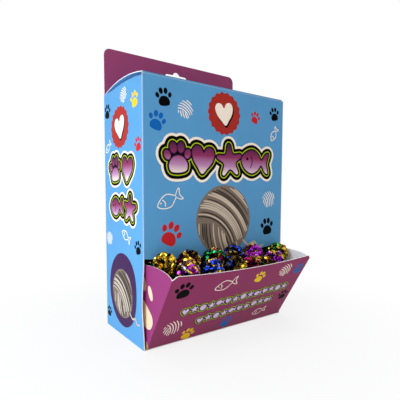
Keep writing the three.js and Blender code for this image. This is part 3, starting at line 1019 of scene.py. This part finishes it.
def stripPoints(rng, course, strip, centre, radius):
    # rows across the strip, its upper side before its lower, pleated, crimped and twisting as it goes
    points = []
    axis = course["axis"]
    side = axis.orthogonal().normalized()
    for i in range(foil["steps"] + 1):
        t = i / foil["steps"]
        turn = Quaternion(axis, course["start"] + course["sweep"] * t)
        out = (turn @ side + axis * course["wander"] * math.sin(foil["wanderWave"] * t + strip)).normalized()
        along = (turn @ axis.cross(side)).normalized()
        stray = rng.uniform(-foil["jitter"], foil["jitter"])
        twist = Quaternion(along, foil["twist"] * math.sin(foil["twistWave"] * t + 2 * strip) + stray)
        across = twist @ out.cross(along).normalized()
        normal = twist @ out
        zig = (0.5 if i % 2 else -0.5) * foil["crimp"] * rng.uniform(*foil["crimpSpread"])
        high = radius * course["depth"] + zig
        pleat = foil["pleatDepth"] * rng.uniform(*foil["pleatSpread"])
        for lift in (0, -foil["thickness"]):
            for k in range(foil["pleats"] + 1):
                fold = pleat * (0.5 if k % 2 else -0.5) + lift
                place = out * high + across * course["width"] * (k / foil["pleats"] - 0.5) + normal * fold
                points.append(centre + place * min(1, (radius - foil["gap"]) / place.length))
    return points


def stripFaces(first, upper, lower):
    # the closed strip's faces from its first point on, with the tone of each
    faces, slots = [], []
    row = foil["pleats"] + 1
    for i in range(foil["steps"]):
        a = first + 2 * row * i
        b = a + 2 * row
        for k in range(foil["pleats"]):
            faces.append((a + k, a + k + 1, b + k + 1, b + k))
            faces.append((a + row + k, b + row + k, b + row + k + 1, a + row + k + 1))
            slots += [upper, lower]
        faces.append((a, b, b + row, a + row))
        faces.append((a + row - 1, a + 2 * row - 1, b + 2 * row - 1, b + row - 1))
        slots += [upper, upper]
    last = first + 2 * row * foil["steps"]
    for k in range(foil["pleats"]):
        faces.append((first + k, first + row + k, first + row + k + 1, first + k + 1))
        faces.append((last + k, last + k + 1, last + row + k + 1, last + row + k))
        slots += [upper, upper]
    return faces, slots


def foilBall(name, centre, radius, tones, seed):
    rng = random.Random(seed)
    verts, faces, slots = [], [], []
    for strip in range(foil["strips"]):
        course = stripCourse(rng)
        upper, lower = rng.choices(range(len(tones)), weights=foil["weights"], k=2)
        newFaces, newSlots = stripFaces(len(verts), upper, lower)
        verts += stripPoints(rng, course, strip, centre, radius)
        faces += newFaces
        slots += newSlots
    obj = addMesh(name, verts, faces, *(foils[tone] for tone in tones))
    obj.data.polygons.foreach_set("material_index", slots)
    return obj


# Tones from left to right, for the balls along the lip and for those behind them

lipTones = [("violet", "magenta", "silver"), ("violet", "gold", "silver"), ("gold", "blue", "dark"),
            ("gold", "blue", "dark"), ("dark", "gold", "blue"), ("gold", "magenta", "dark"),
            ("gold", "violet", "silver"), ("violet", "gold", "dark"), ("gold", "green", "dark")]
farTones = [("gold", "gold", "green"), ("gold", "magenta", "green"), ("gold", "magenta", "dark"),
            ("magenta", "gold", "green"), ("blue", "dark", "gold"), ("blue", "gold", "dark"),
            ("violet", "gold", "magenta"), ("gold", "violet", "magenta"), ("gold", "green", "dark")]


def tonesAt(place):
    row = lipTones if place.y < carton["front"] - foil["lipZone"] else farTones
    share = (place.x + tray["half"]) / (2 * tray["half"])
    return row[min(int(share * len(row)), len(row) - 1)]


ballNames = sorted(n for n in nodes if n.startswith("crinkle_ball_"))
for number, name in enumerate(ballNames):
    low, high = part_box(name)
    middle, radius = (low + high) / 2, max(high - low) / 2
    ball = foilBall(name.replace("crinkle_ball", "foil_tangle"), middle, radius, tonesAt(middle), number)
    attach(ball, "carton")
    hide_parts(name)
print("foil balls made:", len(ballNames))


# Floor, light and camera

def seenDirectly(nt):
    path = addNode(nt, "ShaderNodeLightPath")
    return either(nt, path.outputs["Is Camera Ray"], path.outputs["Is Glossy Ray"],
                  path.outputs["Is Transmission Ray"])


ground = {
    "half": 6.0,
    "colour": (0.86, 0.86, 0.86),
    "roughness": 0.7,
    "gloss": 0.2,
    "nearWhite": 0.8,            # share of plain white round the display, the rest taking its shadow
    "whiteFrom": 80 * mm,        # distance at which that share starts to grow
    "whiteAll": 340 * mm,        # and at which the floor is plain white
}


def floorMaterial():
    # pale near the object, where it takes the shadow, and plain white further off
    mat, nt, bsdf = newMaterial("paleFloor")
    bsdf.inputs["Base Color"].default_value = (*ground["colour"], 1)
    bsdf.inputs["Roughness"].default_value = ground["roughness"]
    bsdf.inputs["Specular IOR Level"].default_value = ground["gloss"]
    coord = addNode(nt, "ShaderNodeTexCoord")
    distance = addNode(nt, "ShaderNodeVectorMath", operation="LENGTH")
    nt.links.new(coord.outputs["Object"], distance.inputs[0])
    spread = addNode(nt, "ShaderNodeMapRange", interpolation_type="SMOOTHSTEP")
    nt.links.new(distance.outputs["Value"], spread.inputs[0])
    spread.inputs["From Min"].default_value = ground["whiteFrom"]
    spread.inputs["From Max"].default_value = ground["whiteAll"]
    spread.inputs["To Min"].default_value = ground["nearWhite"]
    white = addNode(nt, "ShaderNodeEmission", Color=(1, 1, 1, 1), Strength=1.0)
    mix = addNode(nt, "ShaderNodeMixShader")
    nt.links.new(mathNode(nt, "MULTIPLY", seenDirectly(nt), spread.outputs[0]), mix.inputs[0])
    nt.links.new(bsdf.outputs[0], mix.inputs[1])
    nt.links.new(white.outputs[0], mix.inputs[2])
    output = next(n for n in nt.nodes if n.type == "OUTPUT_MATERIAL")
    nt.links.new(mix.outputs[0], output.inputs[0])
    return mat


def makeFloor():
    size = ground["half"]
    corners = [(-size, -size, 0), (size, -size, 0), (size, size, 0), (-size, size, 0)]
    addMesh("floor", corners, [(0, 1, 2, 3)], floorMaterial())


lamps = {
    "key": {"place": (-1.3, -0.3, 0.9), "target": (0, 0, 0.15), "size": (0.8, 0.8),
            "power": 12.2, "colour": (0.87, 1, 1.15)},
    "low": {"place": (-0.45, -0.13, 0.10), "target": (-0.09, -0.06, 0.05), "size": (0.2, 0.2),
            "power": 0.55, "colour": (0.9, 1, 1.2)},
    "fill": {"place": (-0.7, -1.5, 0.8), "target": (0, 0, 0.15), "size": (1.2, 0.8),
             "power": 5.2, "colour": (1.15, 1, 0.82)},
    "top": {"place": (0.1, 0.2, 1.5), "target": (0, 0, 0.1), "size": (1.2, 1.2),
            "power": 7, "colour": (1, 1, 1)},
}
worldGlow = 0.3


def addLamp(name, place, target, size, power, colour):
    data = bpy.data.lights.new(name, "AREA")
    data.shape = "RECTANGLE"
    data.size, data.size_y = size
    data.energy = power
    data.color = colour
    obj = bpy.data.objects.new(name, data)
    obj.location = place
    obj.rotation_mode = "QUATERNION"
    obj.rotation_quaternion = (Vector(target) - Vector(place)).to_track_quat("-Z", "Y")
    bpy.context.scene.collection.objects.link(obj)


def makeWorld():
    world = bpy.data.worlds.new("studio")
    bpy.context.scene.world = world
    world.use_nodes = True
    nt = world.node_tree
    nt.nodes.clear()
    out = addNode(nt, "ShaderNodeOutputWorld")
    glow = addNode(nt, "ShaderNodeBackground", Color=(1, 1, 1, 1), Strength=worldGlow)
    backdrop = addNode(nt, "ShaderNodeBackground", Color=(1, 1, 1, 1), Strength=1.0)
    mix = addNode(nt, "ShaderNodeMixShader")
    nt.links.new(seenDirectly(nt), mix.inputs[0])
    nt.links.new(glow.outputs[0], mix.inputs[1])
    nt.links.new(backdrop.outputs[0], mix.inputs[2])
    nt.links.new(mix.outputs[0], out.inputs[0])


view = {                       # the camera's place in metres, and its three axes
    "place": Vector((-0.2660, -0.3677, 0.1633)),
    "right": Vector((0.81149, -0.58436, 0.00237)),
    "up": Vector((0.04064, 0.06048, 0.99734)),
    "forward": Vector((0.58295, 0.80924, -0.07282)),
    "focal": 364.5,            # in pixels of a 400-pixel frame
    "middle": (196.4, 215.9),  # where the optical axis meets that frame
    "frame": 400,
    "sensor": 36,              # in millimetres
}


def makeCamera():
    data = bpy.data.cameras.new("camera")
    data.sensor_width = view["sensor"]
    data.lens = view["focal"] / view["frame"] * view["sensor"]
    data.shift_x = (view["frame"] / 2 - view["middle"][0]) / view["frame"]
    data.shift_y = (view["middle"][1] - view["frame"] / 2) / view["frame"]
    data.clip_start = 0.01
    obj = bpy.data.objects.new("camera", data)
    turn = Matrix((view["right"], view["up"], -view["forward"])).transposed()
    obj.matrix_world = Matrix.Translation(view["place"]) @ turn.to_4x4()
    bpy.context.scene.collection.objects.link(obj)
    bpy.context.scene.camera = obj


makeFloor()
makeWorld()
for name, lamp in lamps.items():
    addLamp(name, **lamp)
makeCamera()
bpy.context.scene.view_settings.view_transform = "Standard"
print("stage set")
